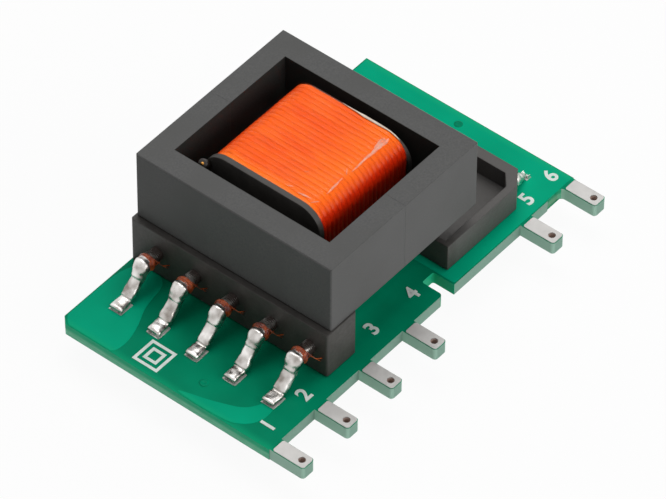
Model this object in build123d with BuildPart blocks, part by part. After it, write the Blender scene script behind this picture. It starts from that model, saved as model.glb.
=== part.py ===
from build123d import *
import os

# Power supply module: a green board with six contact fingers along one long edge, a low flat
# ferrite transformer on top, and the converter's surface-mounted parts underneath.
# Millimetres. X runs along the contact edge, the fingers point to -Y, +Z is up.
# The origin is the middle of the outline at the level that the module stands on.

os.makedirs("parts", exist_ok=True)

# Heights above the standing level
underside_height = 1.8      # tallest package under the board
board_thickness = 0.8
land_thickness = 0.05       # tinned copper, also the contact plating
core_standoff = 3.3         # board top to the underside of the core

# Contact fingers
finger_pitch = 3.81
finger_width = 1.0
finger_length = 2.35
finger_end_inset = 0.05     # board end to the side of the outer finger
finger_tip_radius = 0.22
finger_root_radius = 0.35   # beside the last finger only
primary_fingers = 4
secondary_fingers = 2
contact_setback = 0.16      # board edge to the start of the plating
contact_corner = 0.12       # inner corners of the plating
contact_rim = 0.04          # bare edge left round the plating
contact_drill = 0.54
contact_barrel = 0.05
contact_hole_setback = 0.5  # finger tip to the middle of its hole

# Isolation slot and edge details
slot_offset = 15.55         # primary end of the board to the middle of the slot
slot_width = 1.0
slot_depth = 1.5
slot_end_radius = 0.15
slot_mouth_radius = 0.25
corner_chamfer = 0.45
relief_depth = 0.12         # set back beside the last finger
relief_width = 1.33

# Board edges to the transformer
primary_margin = 2.45       # board end to the tips of the primary feet
secondary_margin = 1.55     # board end to the tips of the secondary feet
front_margin = 0.95
back_margin = 0.05

# Core, two E halves
core_length = 12.75
core_width = 13.9
core_height = 4.8
core_back = 1.63
core_leg = 1.45
centre_leg_height = 2.0
air_gap = 0.12
core_edge = 0.07

# Bobbin
bobbin_overhang = 0.1       # rail and tray beyond the core on each side
bobbin_lift = 0.08          # under the bobbin, above the board
rail_depth = 2.5
rail_ledge = 0.4            # rail face ahead of the core face
rail_edge = 0.15
barrel_clearance = 0.1
barrel_wall = 0.5
barrel_corner = 0.4
window_near_gap = 0.87      # near flange to the primary back of the core
window_far_gap = 0.64       # far flange to the secondary back of the core
window_side_gap = 1.4       # finished winding to the outer leg
flange_thickness = 0.36
flange_side = 0.02          # flange beyond the finished winding on each side
near_flange_lip = 0.03      # near flange above the finished winding
far_flange_drop = 0.55      # far flange below the top of the finished winding
flange_corner = 1.5
flange_foot = 1.0           # flange below the underside of the core
tray_reach = 7.28           # inner flange face to the outer face of the end wall
tray_height = 1.9           # board top to the rim
tray_side_wall = 0.45
tray_end_wall = 0.7
tray_floor = 0.55
tray_corner_along = 1.1
tray_corner_across = 0.8
tray_inner_along = 0.8
tray_inner_across = 0.7

# Winding layers, from the barrel outwards
primary_layer = 0.30
tape_layer = 0.06
secondary_layer = 0.31
outer_wire = 0.33
outer_turns = 20
turn_round_share = 0.44     # of a turn's width, rounded off at each side
film_layer = 0.04

# Pins
pin_count = 5
pin_margin = 1.57           # rail end to the outer pin, before the shift
pin_shift = -0.35           # pin rows off the middle of the bobbin
pin_diameter = 0.78
pin_depth = 1.3             # length held in the moulding
pin_height = 1.8            # board top to the middle of the primary pins
pin_reach = 3.65
pin_shoulder = 1.45         # straight length outside the primary rail
pin_foot = 1.0
pin_bend = 0.5
tray_pin_height = 0.75
tray_pin_diameter = 0.45
tray_pin_reach = 1.4
tray_pin_shoulder = 0.42
tray_pin_foot = 0.35
tray_pin_bend = 0.26
tray_pin_depth = 0.5

# Wire ends
wrap_wire = 0.18
wrap_turns = 3
wrap_overlap = 0.02         # neighbouring turns press together
tray_wrap_wire = 0.34
tray_wrap_turns = 1
tray_wrap_gap = 0.03
wrap_gap = 0.67             # rail face to the first turn
lead_hole = 0.34
lead_wire = 0.28
lead_drop = 0.65            # pin axis to lead axis
lead_spacing = 1.25         # between leads under the winding
lead_inset = 0.6            # flange to the point where a lead meets the winding
lead_exit = 0.35            # straight run of a lead behind the rail
tray_lead_rise = 0.5        # pin axis to lead axis, in the tray
tray_lead_spread = 2.0      # between the two leads in the tray
lead_bend = 0.3
tray_lead_wire = 0.34
tray_lead_hole = 0.40
stub_wire = 0.34
stub_length = 0.45
stub_inset = 0.1            # side of the near flange to the stub
stub_drop = 1.1             # flange top to the stub

# Solder and lands on the top side
land_side = 0.06            # land beyond the foot on each side
land_end = 0.04             # land beyond the foot tip
solder_film = 0.03          # between land and pin
solder_rise = 0.2
solder_side = 0.05          # solder beyond the pin on each side
solder_slope = 80
solder_share = 0.6          # of a foot's length

# Underside packages: body length along X, width along Y, height from the board
package_lift = 0.1          # package body off the board
package_draft = 6
lead_thickness = 0.18
lead_foot_share = 0.5       # of a lead's reach, flat on the land
lead_rake_share = 0.2       # of a lead's reach, under its sloping part
foot_land = 0.12            # land beyond a foot
bridge_length = 3.9
bridge_width = 4.7
bridge_span = 6.2           # across the tips of the leads
bridge_pitch = 2.54
bridge_lead = 0.7
controller_length = 3.9
controller_width = 4.9
controller_span = 6.0
controller_pitch = 1.27
controller_row_leads = 4
controller_lead = 0.42
optocoupler_length = 4.4
optocoupler_width = 2.6
optocoupler_span = 7.0
optocoupler_pitch = 1.27
optocoupler_lead = 0.4
regulator_length = 1.3
regulator_width = 2.9
regulator_span = 2.4
regulator_pitch = 0.95
regulator_lead = 0.4
small_height = 1.1
output_diode_length = 4.3
output_diode_width = 2.6
output_diode_span = 5.2
output_diode_lead = 1.5
small_diode_length = 2.7
small_diode_width = 1.6
small_diode_span = 3.7
small_diode_lead = 0.9
chip_end = 0.35             # metal end of a chip part, along its length
isolation_length = 4.6
isolation_width = 2.0
isolation_height = 1.6
large_chip_length = 3.2
large_chip_width = 1.6
large_chip_height = 1.5
chip_length = 2.0
chip_width = 1.25
chip_height = 0.55
chip_gap = 0.75             # between neighbours in a row of chips

# Places of the underside packages
package_gap = 0.8
package_row_inset = 0.7     # back edge of the board to the row along it
bridge_setback = 0.8
output_inset = 0.8
optocoupler_inset = 2.6
clamp_setback = 0.8
clamp_inset = 1.0
regulator_inset = 1.0
isolation_shift = 1.6

# Places worked out from the sizes above
barrel_height = centre_leg_height + 2 * (barrel_clearance + barrel_wall)
coil_build = primary_layer + secondary_layer + outer_wire + film_layer + 2 * tape_layer
coil_wall = barrel_wall + coil_build
window_length = core_length - 2 * core_back
winding_length = window_length - window_near_gap - window_far_gap - 2 * flange_thickness
window_width = barrel_clearance + coil_wall + window_side_gap
centre_leg_width = core_width - 2 * (core_leg + window_width)
barrel_width = centre_leg_width + 2 * (barrel_clearance + barrel_wall)
flange_width = barrel_width + 2 * (coil_build + flange_side)
bobbin_width = core_width + 2 * bobbin_overhang
pin_pitch = (bobbin_width - 2 * pin_margin) / (pin_count - 1)

core_setback = primary_margin + pin_reach + rail_ledge
winding_middle = core_setback + core_back + window_near_gap + flange_thickness + winding_length / 2
tray_end = winding_middle + winding_length / 2 + tray_reach
board_length = tray_end + tray_pin_reach + secondary_margin
board_width = front_margin + bobbin_width + back_margin

left = -board_length / 2
right = board_length / 2
front = (finger_length - board_width) / 2
back = front + board_width
board_bottom = underside_height
board_top = board_bottom + board_thickness
finger_tip = front - finger_length

rail_face = left + primary_margin + pin_reach
core_left = left + core_setback
core_right = core_left + core_length
core_x = (core_left + core_right) / 2
core_bottom = board_top + core_standoff
core_top = core_bottom + core_height
coil_x = left + winding_middle
coil_y = front + front_margin + bobbin_width / 2
coil_z = core_bottom + core_height / 2
tray_end_x = left + tray_end
slot_x = left + slot_offset

coil_top = coil_z + barrel_height / 2 + coil_build
near_flange_top = coil_top + near_flange_lip
far_flange_top = coil_top - far_flange_drop
flange_bottom = core_bottom - flange_foot
winding_start = coil_x - winding_length / 2
winding_end = coil_x + winding_length / 2
bobbin_bottom = board_top + bobbin_lift

first_finger = left + finger_end_inset + finger_width / 2
last_finger = right - finger_end_inset - finger_width / 2
finger_x = [first_finger + i * finger_pitch for i in range(primary_fingers)]
finger_x += [last_finger - i * finger_pitch for i in reversed(range(secondary_fingers))]
pin_y = [coil_y + pin_shift + (i - (pin_count - 1) / 2) * pin_pitch for i in range(pin_count)]
tray_pin_y = pin_y[0::3]    # the first and the fourth place
tray_lead_y = [coil_y - tray_lead_spread / 2, coil_y + tray_lead_spread / 2]
pin_z = board_top + pin_height
tray_pin_z = board_top + tray_pin_height


def keep(built, name):
    """Label a finished sub-part and write it out."""
    built.part.label = name
    export_step(built.part, f"parts/{name}.step")


# Board

with BuildPart() as circuit_board:
    with BuildSketch(Plane.XY.offset(board_bottom)):
        with Locations((0, (front + back) / 2)):
            Rectangle(board_length, board_width)
        with Locations(*[(x, front - finger_length / 2) for x in finger_x]):
            Rectangle(finger_width, finger_length)
        with Locations((last_finger - finger_width / 2 - relief_width / 2, front)):
            Rectangle(relief_width, 2 * relief_depth, mode=Mode.SUBTRACT)
        with Locations((slot_x, front)):
            RectangleRounded(slot_width, 2 * slot_depth, slot_end_radius, mode=Mode.SUBTRACT)
        with Locations(*[(x, finger_tip + contact_hole_setback) for x in finger_x]):
            Circle(contact_drill / 2, mode=Mode.SUBTRACT)
    extrude(amount=board_thickness)
    corners = circuit_board.edges().filter_by(Axis.Z)
    fillet(corners.group_by(Axis.Y)[0], finger_tip_radius)
    corners = circuit_board.edges().filter_by(Axis.Z)
    chamfer(corners.sort_by_distance((left, back, board_top))[0], corner_chamfer)
    corners = circuit_board.edges().filter_by(Axis.Z)
    mouth = corners.sort_by_distance((slot_x - slot_width / 2, front, board_top))[0]
    fillet(mouth, slot_mouth_radius)
    corners = circuit_board.edges().filter_by(Axis.Z)
    root = (last_finger - finger_width / 2, front + relief_depth, board_top)
    fillet(corners.sort_by_distance(root)[0], finger_root_radius)
keep(circuit_board, "circuit_board")


def contact_outline():
    """Plating on one finger, before its corners are rounded."""
    start = -contact_setback
    tip = contact_rim - finger_length
    with Locations((0, (start + tip) / 2)):
        Rectangle(finger_width - 2 * contact_rim, start - tip)


with BuildPart() as contact_pads:
    for x in finger_x:
        with BuildSketch(Plane((x, front, board_top))):
            contact_outline()
        extrude(amount=land_thickness)
        with BuildSketch(Plane((x, front, board_bottom))):
            contact_outline()
        extrude(amount=-land_thickness)
    tip_edges = contact_pads.edges().filter_by(Axis.Z).group_by(Axis.Y)[0]
    fillet(tip_edges, finger_tip_radius - contact_rim)
    inner_edges = contact_pads.edges().filter_by(Axis.Z).group_by(Axis.Y)[-1]
    fillet(inner_edges, contact_corner)
    with BuildSketch(Plane.XY.offset(board_bottom - land_thickness)):
        with Locations(*[(x, finger_tip + contact_hole_setback) for x in finger_x]):
            Circle(contact_drill / 2)
    extrude(amount=board_thickness + 2 * land_thickness)
    with BuildSketch(Plane.XY.offset(board_bottom - land_thickness)):
        with Locations(*[(x, finger_tip + contact_hole_setback) for x in finger_x]):
            Circle(contact_drill / 2 - contact_barrel)
    extrude(amount=board_thickness + 2 * land_thickness, mode=Mode.SUBTRACT)
keep(contact_pads, "contact_pads")


# Transformer core

def core_half(side, gap):
    """One E half. side is -1 at the primary end and 1 at the secondary end."""
    with BuildPart() as half:
        with BuildSketch(Plane.XY.offset(core_bottom)):
            with Locations((core_x + side * core_length / 4, coil_y)):
                Rectangle(core_length / 2, core_width)
            with Locations((core_x + side * (core_length / 4 - core_back / 2), coil_y)):
                Rectangle(core_length / 2 - core_back, core_width - 2 * core_leg,
                          mode=Mode.SUBTRACT)
        extrude(amount=core_height)
        outer = half.faces().filter_by(Axis.X).sort_by(Axis.X)[0 if side < 0 else -1]
        chamfer(outer.edges(), core_edge)
        with BuildSketch(Plane.YZ.offset(core_x + side * (core_length / 2 - core_back))):
            with Locations((coil_y, coil_z)):
                Rectangle(centre_leg_width, centre_leg_height)
        extrude(amount=-side * (core_length / 2 - core_back - gap))
    return half


keep(core_half(-1, 0), "core_half_primary")
keep(core_half(1, air_gap), "core_half_secondary")


# Bobbin

def ring(inner_width, inner_height, inner_radius, wall):
    """Rounded rectangular ring round the coil's middle, in a plane across X."""
    with Locations((coil_y, coil_z)):
        RectangleRounded(inner_width + 2 * wall, inner_height + 2 * wall, inner_radius + wall)
        RectangleRounded(inner_width, inner_height, inner_radius, mode=Mode.SUBTRACT)


def leg_passage():
    """Way for the centre leg, cut from the sketch being drawn."""
    with Locations((coil_y, coil_z)):
        Rectangle(centre_leg_width + 2 * barrel_clearance,
                  centre_leg_height + 2 * barrel_clearance, mode=Mode.SUBTRACT)


def flange_sketch(bottom, top):
    """Flange plate outline, in a plane across X, with rounded upper corners."""
    middle = (bottom + top) / 2
    with Locations((coil_y, middle)):
        RectangleRounded(flange_width, top - bottom, flange_corner)
    with Locations((coil_y, bottom + (middle - bottom) / 2)):
        Rectangle(flange_width, middle - bottom)
    leg_passage()


tray_start = winding_end
tray_rim = board_top + tray_height
web_length = winding_start - flange_thickness - rail_face - rail_depth
lead_z = pin_z - lead_drop
tray_lead_z = tray_pin_z + tray_lead_rise


def tray_polygon(start, end, half_width, along, across):
    """Plan of the tray, with its two outer corners cut off."""
    with BuildLine() as outline:
        Polyline(
            (start, coil_y - half_width),
            (end - along, coil_y - half_width),
            (end, coil_y - half_width + across),
            (end, coil_y + half_width - across),
            (end - along, coil_y + half_width),
            (start, coil_y + half_width),
            close=True,
        )
    make_face(outline.edges())


def round_hole(start_x, depth, places, diameter):
    """Holes along +X from start_x, at (y, z) places, cut from the part being built."""
    with BuildSketch(Plane.YZ.offset(start_x)) as circles:
        with Locations(*places):
            Circle(diameter / 2)
    extrude(circles.sketch, amount=depth, mode=Mode.SUBTRACT)


with BuildPart() as bobbin:
    # rail that carries the primary pins
    with BuildSketch(Plane.XY.offset(bobbin_bottom)):
        with Locations((rail_face + rail_depth / 2, coil_y)):
            RectangleRounded(rail_depth, bobbin_width, rail_edge)
    extrude(amount=core_bottom - bobbin_bottom)
    # web from the rail to the near flange
    with BuildSketch(Plane.XY.offset(flange_bottom)):
        with Locations((rail_face + rail_depth + web_length / 2, coil_y)):
            Rectangle(web_length, flange_width)
    extrude(amount=core_bottom - flange_bottom)
    # barrel and flanges
    with BuildSketch(Plane.YZ.offset(winding_start)):
        with Locations((coil_y, coil_z)):
            RectangleRounded(barrel_width, barrel_height, barrel_corner)
        leg_passage()
    extrude(amount=winding_length)
    with BuildSketch(Plane.YZ.offset(winding_start)):
        flange_sketch(flange_bottom, near_flange_top)
    extrude(amount=-flange_thickness)
    with BuildSketch(Plane.YZ.offset(winding_end)):
        flange_sketch(bobbin_bottom, far_flange_top)
    extrude(amount=flange_thickness)
    # tray that keeps the secondary pins away from the core
    with BuildSketch(Plane.XY.offset(bobbin_bottom)):
        tray_polygon(tray_start, tray_end_x, bobbin_width / 2,
                     tray_corner_along, tray_corner_across)
    extrude(amount=tray_rim - bobbin_bottom)
    with BuildSketch(Plane.XY.offset(bobbin_bottom + tray_floor)):
        tray_polygon(tray_start + flange_thickness, tray_end_x - tray_end_wall,
                     bobbin_width / 2 - tray_side_wall, tray_inner_along, tray_inner_across)
    extrude(amount=tray_rim - bobbin_bottom - tray_floor, mode=Mode.SUBTRACT)
    # seats of the pins and ways for the wire ends
    round_hole(rail_face, pin_depth, [(y, pin_z) for y in pin_y], pin_diameter)
    round_hole(rail_face, rail_depth, [(y, lead_z) for y in pin_y], lead_hole)
    round_hole(tray_end_x - tray_pin_depth, tray_pin_depth,
               [(y, tray_pin_z) for y in tray_pin_y], tray_pin_diameter)
    lead_places = [(y, tray_lead_z) for y in tray_lead_y]
    round_hole(tray_end_x - tray_end_wall, tray_end_wall, lead_places, tray_lead_hole)
    round_hole(tray_start, flange_thickness, lead_places, tray_lead_hole)
keep(bobbin, "bobbin")


# Windings, one sleeve inside the next

def sleeve(build, wall):
    """Plain sleeve round the barrel, build is the depth of the layers below it."""
    with BuildPart() as layer:
        with BuildSketch(Plane.YZ.offset(winding_start)):
            ring(barrel_width + 2 * build, barrel_height + 2 * build, barrel_corner + build, wall)
        extrude(amount=winding_length)
    return layer


depth = 0
keep(sleeve(depth, primary_layer), "primary_winding_inner")
depth += primary_layer
keep(sleeve(depth, tape_layer), "insulation_tape_inner")
depth += tape_layer
keep(sleeve(depth, secondary_layer), "secondary_winding")
depth += secondary_layer
keep(sleeve(depth, tape_layer), "insulation_tape_outer")
depth += tape_layer

turn_pitch = winding_length / outer_turns
turn_round = turn_round_share * turn_pitch
with BuildPart() as outer_turn:
    with BuildSketch(Plane.YZ):
        ring(barrel_width + 2 * depth, barrel_height + 2 * depth, barrel_corner + depth,
             outer_wire)
    extrude(amount=turn_pitch)
    rims = outer_turn.faces().filter_by(Axis.X)
    fillet([face.outer_wire().edges() for face in rims], turn_round)
with BuildPart() as outer_winding:
    with Locations(*[(winding_start + i * turn_pitch, 0, 0) for i in range(outer_turns)]):
        add(outer_turn.part)
keep(outer_winding, "primary_winding_outer")
depth += outer_wire
keep(sleeve(depth, film_layer), "winding_film")


# Pins and what is wound or soldered on them

def bent_wire(points, bend, diameter):
    """Round wire along straight runs joined by arcs."""
    with BuildPart() as wire:
        with BuildLine() as path:
            FilletPolyline(*points, radius=bend)
        with BuildSketch(Plane(origin=path.line @ 0, z_dir=path.line % 0)):
            Circle(diameter / 2)
        sweep(path=path.line)
    return wire


def foot_height(diameter):
    """Middle of a pin's foot, on its film of solder."""
    return board_top + land_thickness + solder_film + diameter / 2


def pin(face_x, side, y, z, held, shoulder, reach, foot, bend, diameter):
    """Gull-wing pin that leaves the bobbin at face_x, towards side along X."""
    foot_z = foot_height(diameter)
    points = [
        (face_x - side * held, y, z),
        (face_x + side * shoulder, y, z),
        (face_x + side * (reach - foot), y, foot_z),
        (face_x + side * reach, y, foot_z),
    ]
    return bent_wire(points, bend, diameter)


primary_pins = [
    pin(rail_face, -1, y, pin_z, pin_depth, pin_shoulder, pin_reach, pin_foot, pin_bend,
        pin_diameter) for y in pin_y
]
tray_pins = [
    pin(tray_end_x, 1, y, tray_pin_z, tray_pin_depth, tray_pin_shoulder, tray_pin_reach,
        tray_pin_foot, tray_pin_bend, tray_pin_diameter) for y in tray_pin_y
]
for number, primary_pin in enumerate(primary_pins, 1):
    keep(primary_pin, f"primary_pin_{number}")
for number, tray_pin in enumerate(tray_pins, 1):
    keep(tray_pin, f"secondary_pin_{number}")


def wire_wraps(first_x, side, turns, wire, places, z, diameter):
    """Turns of wire round pins, the first turn starting at first_x."""
    ring_radius = (diameter + wire) / 2
    with BuildPart() as wraps:
        for y in places:
            with BuildSketch(Plane.XZ.offset(-y)):
                for turn in range(turns):
                    step = wire / 2 + turn * (wire - wrap_overlap)
                    with Locations((first_x + side * step, z + ring_radius)):
                        Circle(wire / 2)
            revolve(axis=Axis((first_x, y, z), (1, 0, 0)))
    return wraps


keep(wire_wraps(rail_face - wrap_gap, -1, wrap_turns, wrap_wire, pin_y, pin_z,
                pin_diameter), "primary_wire_wraps")
keep(wire_wraps(tray_end_x + tray_wrap_gap, 1, tray_wrap_turns, tray_wrap_wire, tray_pin_y,
                tray_pin_z, tray_pin_diameter), "secondary_wire_wraps")

coil_bottom = coil_z - barrel_height / 2 - coil_build
with BuildPart() as primary_leads:
    for number, y in enumerate(pin_y):
        inner_y = coil_y + (number - (pin_count - 1) / 2) * lead_spacing
        inner_x = winding_start + lead_inset
        run = bent_wire(
            [(rail_face - wrap_gap, y, lead_z),
             (rail_face + rail_depth + lead_exit, y, lead_z),
             (inner_x, inner_y, lead_z),
             (inner_x, inner_y, coil_bottom)],
            lead_bend, lead_wire)
        add(run.part)
keep(primary_leads, "primary_leads")

with BuildPart() as secondary_leads:
    for y, end_y in zip(tray_lead_y, tray_pin_y):
        inner_x = winding_end - lead_inset
        outer_x = tray_end_x + tray_wrap_gap + tray_wrap_wire / 2
        wrap_side = tray_pin_diameter / 2 + tray_wrap_wire
        run = bent_wire(
            [(inner_x, y, coil_bottom),
             (inner_x, y, tray_lead_z),
             (outer_x, y, tray_lead_z),
             (outer_x, end_y + (wrap_side if y > end_y else -wrap_side), tray_lead_z)],
            lead_bend, tray_lead_wire)
        add(run.part)
keep(secondary_leads, "secondary_leads")

with BuildPart() as wire_stub:
    with BuildSketch(Plane.YZ.offset(winding_start - flange_thickness)):
        with Locations((coil_y + flange_width / 2 - stub_inset, near_flange_top - stub_drop)):
            Circle(stub_wire / 2)
    extrude(amount=-stub_length)
keep(wire_stub, "wire_stub")


def foot_lands(places, tip_x, side, foot, diameter):
    """Lands under a row of feet."""
    length = foot + land_end
    with BuildPart() as lands:
        with BuildSketch(Plane.XY.offset(board_top)):
            with Locations(*[(tip_x + side * (land_end - length / 2), y) for y in places]):
                Rectangle(length, diameter + 2 * land_side)
        extrude(amount=land_thickness)
    return lands


def foot_solder(places, tip_x, side, foot, diameter):
    """Solder under and beside a row of feet, along their straight runs."""
    with BuildPart() as mounds:
        with BuildSketch(Plane.YZ.offset(tip_x)):
            with Locations(*[(y, board_top + land_thickness) for y in places]):
                Trapezoid(diameter + 2 * solder_side, solder_rise, solder_slope,
                          align=(Align.CENTER, Align.MIN))
            with Locations(*[(y, foot_height(diameter)) for y in places]):
                Circle(diameter / 2, mode=Mode.SUBTRACT)
        extrude(amount=-side * foot * solder_share)
    return mounds


primary_tip_x = rail_face - pin_reach
tray_tip_x = tray_end_x + tray_pin_reach
primary_feet = (pin_y, primary_tip_x, -1, pin_foot, pin_diameter)
tray_feet = (tray_pin_y, tray_tip_x, 1, tray_pin_foot, tray_pin_diameter)
keep(foot_lands(*primary_feet), "primary_lands")
keep(foot_lands(*tray_feet), "secondary_lands")
keep(foot_solder(*primary_feet), "primary_solder")
keep(foot_solder(*tray_feet), "secondary_solder")


# Packages under the board

under_lands = []


def under_plane(depth):
    """Plane below the board's underside, seen from below, depth away from it."""
    return Plane(origin=(0, 0, board_bottom - depth), x_dir=(1, 0, 0), z_dir=(0, 0, -1))


def under_spot(x, y):
    """Local place on an under_plane."""
    return (x, -y)


def moulded_body(x, y, length, width, height):
    """Moulded package body, tapering both ways from its parting line."""
    parting = (package_lift + height) / 2
    with BuildPart() as body:
        with BuildSketch(under_plane(parting)) as outline:
            with Locations(under_spot(x, y)):
                Rectangle(length, width)
        extrude(outline.sketch, amount=height - parting, taper=package_draft)
        extrude(outline.sketch, amount=package_lift - parting, taper=package_draft)
    return body


def package_leads(x, y, length, span, height, lead, rows):
    """Gull-wing leads. rows gives, for each side along X, the Y places of its leads."""
    parting = (package_lift + height) / 2
    top = land_thickness
    root = length / 2
    tip = span / 2
    foot = lead_foot_share * (tip - root)
    heel = tip - foot
    shoulder = heel - lead_rake_share * (tip - root)
    with BuildPart() as leads:
        for side, places in rows:
            for place in places:
                plane = Plane(origin=(x, y + place, board_bottom), x_dir=(side, 0, 0),
                              z_dir=(0, side, 0))
                with BuildSketch(plane):
                    with BuildLine():
                        Polyline(
                            (root, parting - lead_thickness / 2),
                            (shoulder, parting - lead_thickness / 2),
                            (heel, top),
                            (tip, top),
                            (tip, top + lead_thickness),
                            (heel + lead_thickness, top + lead_thickness),
                            (shoulder + lead_thickness, parting + lead_thickness / 2),
                            (root, parting + lead_thickness / 2),
                            close=True,
                        )
                    make_face()
                extrude(amount=lead / 2, both=True)
                under_lands.append((x + side * (tip - foot / 2), y + place,
                                    foot + 2 * foot_land, lead + 2 * foot_land))
    return leads


def package(name, x, y, length, width, span, height, lead, rows):
    """Write a moulded body and its leads as two sub-parts."""
    keep(moulded_body(x, y, length, width, height), name)
    keep(package_leads(x, y, length, span, height, lead, rows), f"{name}_leads")


def pair(pitch):
    """Places of two leads."""
    return [-pitch / 2, pitch / 2]


bridge_x = left + bridge_setback + bridge_span / 2
controller_x = bridge_x + bridge_span / 2 + package_gap + controller_span / 2
bridge_y = back - package_row_inset - bridge_width / 2
controller_y = back - package_row_inset - controller_width / 2
package("bridge_rectifier", bridge_x, bridge_y, bridge_length, bridge_width, bridge_span,
        underside_height, bridge_lead,
        [(-1, pair(bridge_pitch)), (1, pair(bridge_pitch))])
controller_row = [(i - (controller_row_leads - 1) / 2) * controller_pitch
                  for i in range(controller_row_leads)]
package("controller_ic", controller_x, controller_y, controller_length, controller_width,
        controller_span, underside_height, controller_lead,
        [(-1, controller_row), (1, controller_row[:1] + controller_row[2:])])
optocoupler_y = front + optocoupler_inset + optocoupler_width / 2
package("optocoupler", slot_x, optocoupler_y, optocoupler_length, optocoupler_width,
        optocoupler_span, underside_height, optocoupler_lead,
        [(-1, pair(optocoupler_pitch)), (1, pair(optocoupler_pitch))])
output_diode_x = right - output_inset - output_diode_span / 2
output_diode_y = back - package_row_inset - output_diode_width / 2
package("output_diode", output_diode_x, output_diode_y, output_diode_length,
        output_diode_width, output_diode_span, underside_height, output_diode_lead,
        [(-1, [0]), (1, [0])])
clamp_x = left + clamp_setback + small_diode_span / 2
clamp_y = front + clamp_inset + small_diode_width / 2
package("clamp_diode", clamp_x, clamp_y, small_diode_length, small_diode_width,
        small_diode_span, small_height, small_diode_lead, [(-1, [0]), (1, [0])])
supply_y = clamp_y + small_diode_width + package_gap
package("supply_diode", clamp_x, supply_y, small_diode_length, small_diode_width,
        small_diode_span, small_height, small_diode_lead, [(-1, [0]), (1, [0])])
regulator_x = right - output_inset - regulator_span / 2
regulator_y = front + regulator_inset + regulator_width / 2
package("shunt_regulator", regulator_x, regulator_y, regulator_length, regulator_width,
        regulator_span, small_height, regulator_lead,
        [(-1, [0]), (1, pair(2 * regulator_pitch))])


def chips(name, places, length, width, height):
    """Chip parts at (x, y) places, length along X: bodies and metal ends as two sub-parts."""
    with BuildPart() as bodies:
        with BuildSketch(under_plane(land_thickness)):
            with Locations(*[under_spot(x, y) for x, y in places]):
                Rectangle(length - 2 * chip_end, width)
        extrude(amount=height - land_thickness)
    keep(bodies, name)
    shift = (length - chip_end) / 2
    ends = [(x + side * shift, y) for x, y in places for side in (-1, 1)]
    with BuildPart() as caps:
        with BuildSketch(under_plane(land_thickness)):
            with Locations(*[under_spot(x, y) for x, y in ends]):
                Rectangle(chip_end, width)
        extrude(amount=height - land_thickness)
    keep(caps, f"{name}_ends")
    for x, y in ends:
        under_lands.append((x, y, chip_end + 2 * foot_land, width + 2 * foot_land))


isolation_y = back - package_row_inset - isolation_width / 2
chips("isolation_capacitor", [(slot_x + isolation_shift, isolation_y)], isolation_length,
      isolation_width, isolation_height)
output_x = right - output_inset - large_chip_length / 2
output_step = large_chip_width + chip_gap
output_y = output_diode_y - output_diode_width / 2 - package_gap - large_chip_width / 2
chips("output_capacitors", [(output_x, output_y), (output_x, output_y - output_step)],
      large_chip_length, large_chip_width, large_chip_height)
supply_x = clamp_x + small_diode_span / 2 + package_gap + large_chip_length / 2
chips("supply_capacitors", [(supply_x, clamp_y), (supply_x, clamp_y + output_step)],
      large_chip_length, large_chip_width, large_chip_height)
resistor_step = chip_width + chip_gap
resistor_x = regulator_x - regulator_span / 2 - package_gap - chip_length / 2
resistor_y = front + clamp_inset + chip_width / 2
chips("chip_resistors",
      [(resistor_x, resistor_y), (resistor_x, resistor_y + resistor_step)],
      chip_length, chip_width, chip_height)

with BuildPart() as underside_lands:
    for x, y, length, width in under_lands:
        with BuildSketch(under_plane(0)):
            with Locations(under_spot(x, y)):
                Rectangle(length, width)
    extrude(amount=land_thickness)
keep(underside_lands, "underside_lands")
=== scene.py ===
import math

import bpy
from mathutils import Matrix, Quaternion, Vector, noise


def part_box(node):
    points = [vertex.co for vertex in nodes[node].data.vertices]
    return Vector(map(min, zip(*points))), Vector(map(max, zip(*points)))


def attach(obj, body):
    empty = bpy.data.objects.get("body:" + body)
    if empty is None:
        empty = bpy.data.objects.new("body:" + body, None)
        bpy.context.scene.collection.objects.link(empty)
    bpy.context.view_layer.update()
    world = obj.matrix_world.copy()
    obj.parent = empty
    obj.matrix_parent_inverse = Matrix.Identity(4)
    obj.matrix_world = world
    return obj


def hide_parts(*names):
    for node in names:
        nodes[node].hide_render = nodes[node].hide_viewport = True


# Looks of the power supply module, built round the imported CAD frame. Lengths are millimetres
# and become metres where a mesh or an object is made.

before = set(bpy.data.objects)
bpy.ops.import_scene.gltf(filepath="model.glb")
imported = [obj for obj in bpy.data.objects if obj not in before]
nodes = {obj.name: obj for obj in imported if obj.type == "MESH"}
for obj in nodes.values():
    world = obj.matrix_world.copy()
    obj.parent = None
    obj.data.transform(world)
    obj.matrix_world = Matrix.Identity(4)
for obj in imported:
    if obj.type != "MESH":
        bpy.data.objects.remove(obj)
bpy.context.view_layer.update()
MM = 0.001


def box(node):
    """Lowest and highest corner of a CAD node, in millimetres."""
    low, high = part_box(node)
    return low / MM, high / MM


# Camera, from a perspective fit of the photograph
CAMERA_AZIMUTH = -50.885
CAMERA_ELEVATION = 46.206
CAMERA_ROLL = 0.418
CAMERA_DISTANCE = 358.307
CAMERA_AIM = Vector((-2.109, -1.528, 6.0))
CAMERA_LENS = 351.477

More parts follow.
